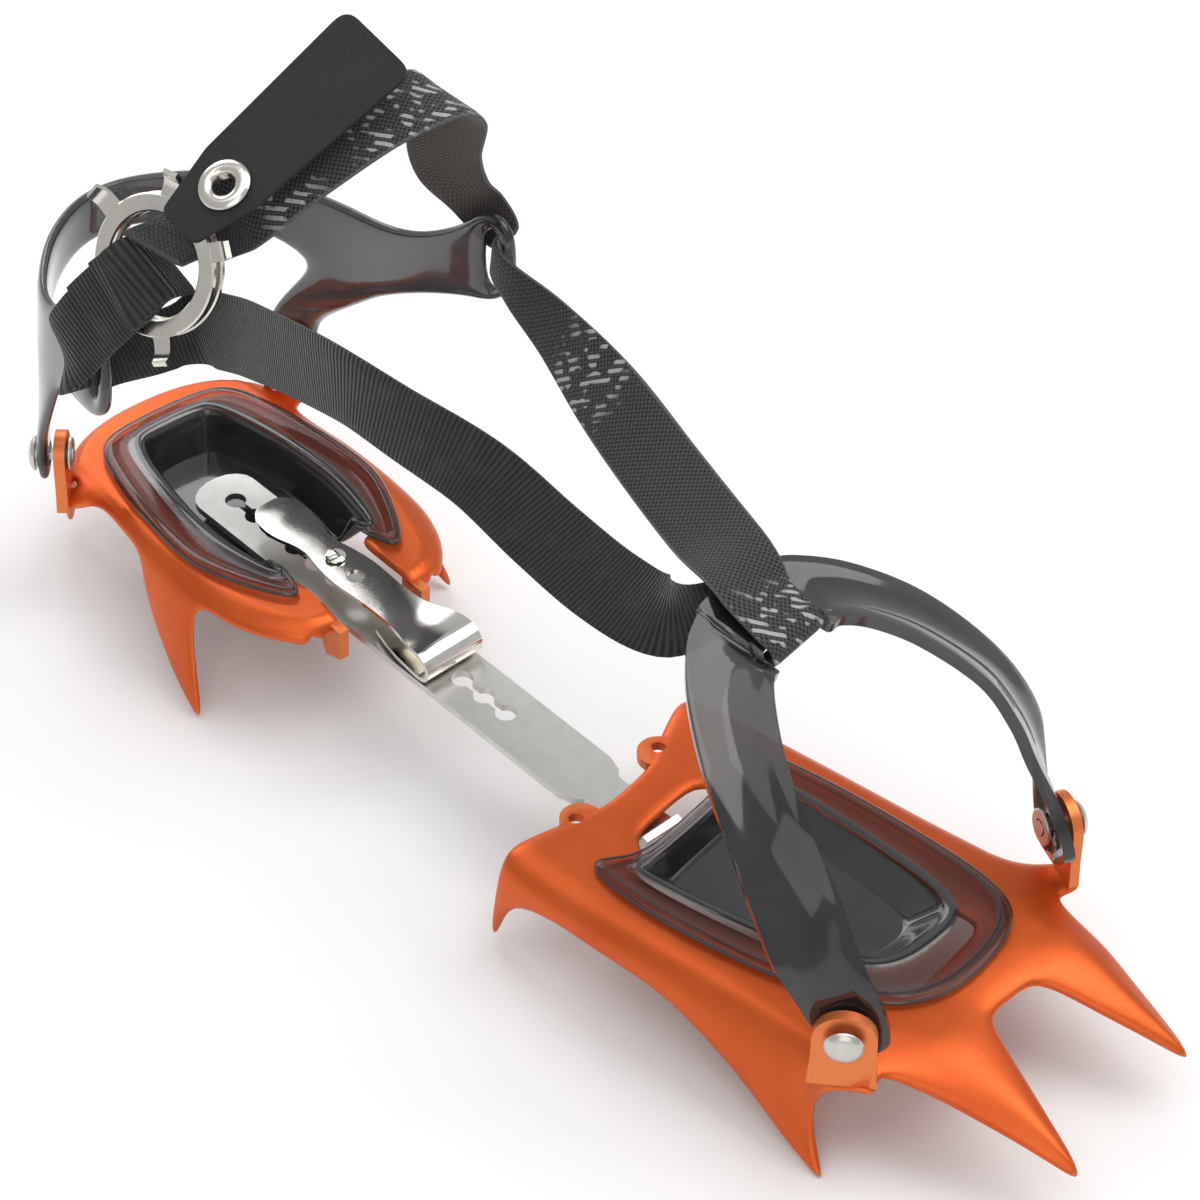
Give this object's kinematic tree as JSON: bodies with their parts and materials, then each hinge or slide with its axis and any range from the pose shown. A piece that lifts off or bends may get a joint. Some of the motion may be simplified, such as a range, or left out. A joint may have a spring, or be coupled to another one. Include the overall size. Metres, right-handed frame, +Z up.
{
  "type": "strap-on crampon",
  "caption": "Strap-on crampon for one boot: two stamped aluminium sections with points on a steel bar, toe bail, heel cradle, adjuster lever and webbing harness",
  "frame": {"origin": "centre of the base: middle of the bounding box in X and Y, on the ground plane the points stand on", "axes": "+X towards the toe along the linking bar, +Y the wearer's left, +Z up"},
  "size_m": [0.3618, 0.1274, 0.1949],
  "materials": {
    "anodised_aluminium_front": "satin orange anodised",
    "smoky_plastic_front": "glossy smoky translucent",
    "tumbled_stainless_steel": "tumbled stainless steel",
    "anodised_aluminium_heel": "satin orange anodised",
    "smoky_plastic_heel": "glossy smoky translucent",
    "polished_spring_steel": "mirror-polished spring steel",
    "smoky_plastic_bail": "glossy smoky translucent",
    "smoky_plastic_cradle": "glossy smoky translucent",
    "satin_rivet_steel": "satin steel",
    "nickel_plated_ring_steel": "nickel-plated",
    "black_webbing": "woven polyamide webbing",
    "black_coated_sheet": "matt black sheet"
  },
  "bodies": {
    "front_section": {"front_frame": "anodised_aluminium_front", "front_antiball_plate": "smoky_plastic_front", "linking_bar": "tumbled_stainless_steel", "toe_bail_right_rivet": "satin_rivet_steel", "toe_bail_right_washer": "satin_rivet_steel", "toe_bail_left_rivet": "satin_rivet_steel", "toe_bail_left_washer": "satin_rivet_steel"},
    "heel_section": {"heel_frame": "anodised_aluminium_heel", "heel_antiball_plate": "smoky_plastic_heel", "heel_cradle_right_rivet": "satin_rivet_steel", "heel_cradle_right_washer": "satin_rivet_steel", "heel_cradle_left_rivet": "satin_rivet_steel", "heel_cradle_left_washer": "satin_rivet_steel"},
    "adjuster": {"adjuster_lever": "polished_spring_steel", "adjuster_stud": "polished_spring_steel"},
    "bail": {"toe_bail": "smoky_plastic_bail"},
    "cradle": {"heel_cradle": "smoky_plastic_cradle", "ring_strap": "black_webbing", "strap_lower": "black_webbing", "strap_upper": "black_webbing"},
    "rings": {"plain_ring": "nickel_plated_ring_steel", "tabbed_ring": "nickel_plated_ring_steel"},
    "flap": {"retainer_flap": "black_coated_sheet", "flap_eyelet": "nickel_plated_ring_steel"}
  },
  "joints": [
    {"name": "toe_bail_pivot", "type": "hinge", "parent": "front_section", "child": "bail", "pos_m": [0.12713, 0.01227, 0.04317], "axis": [-0.1444, 0.9895, 0], "range_deg": [-10, 8], "deforming": ["strap_lower"]},
    {"name": "length_slide", "type": "slide", "parent": "front_section", "child": "heel_section", "axis": [0.9991, 0, -0.043], "range_m": [-0.041, 0]},
    {"name": "lever_flex", "type": "hinge", "parent": "heel_section", "child": "adjuster", "pos_m": [-0.03593, -0.00406, 0.03287], "axis": [0, 1, 0], "range_deg": [0, 12], "stiffness_Nm_per_rad": 1.2, "springref_deg": -2.86},
    {"name": "heel_cradle_pivot", "type": "hinge", "parent": "heel_section", "child": "cradle", "pos_m": [-0.14848, 0.00088, 0.04607], "axis": [0.0637, 0.998, 0], "range_deg": [-12, 7], "deforming": ["strap_upper"]},
    {"name": "ring_swing", "type": "hinge", "parent": "cradle", "child": "rings", "pos_m": [-0.09243, -0.04816, 0.13172], "axis": [0.9782, 0.188, -0.0885], "range_deg": [-20, 3], "deforming": ["ring_strap"]},
    {"name": "flap_swing", "type": "hinge", "parent": "cradle", "child": "flap", "pos_m": [-0.08163, -0.04506, 0.15977], "axis": [0.9803, -0.0626, -0.1872], "range_deg": [0, 80]}
  ]
}
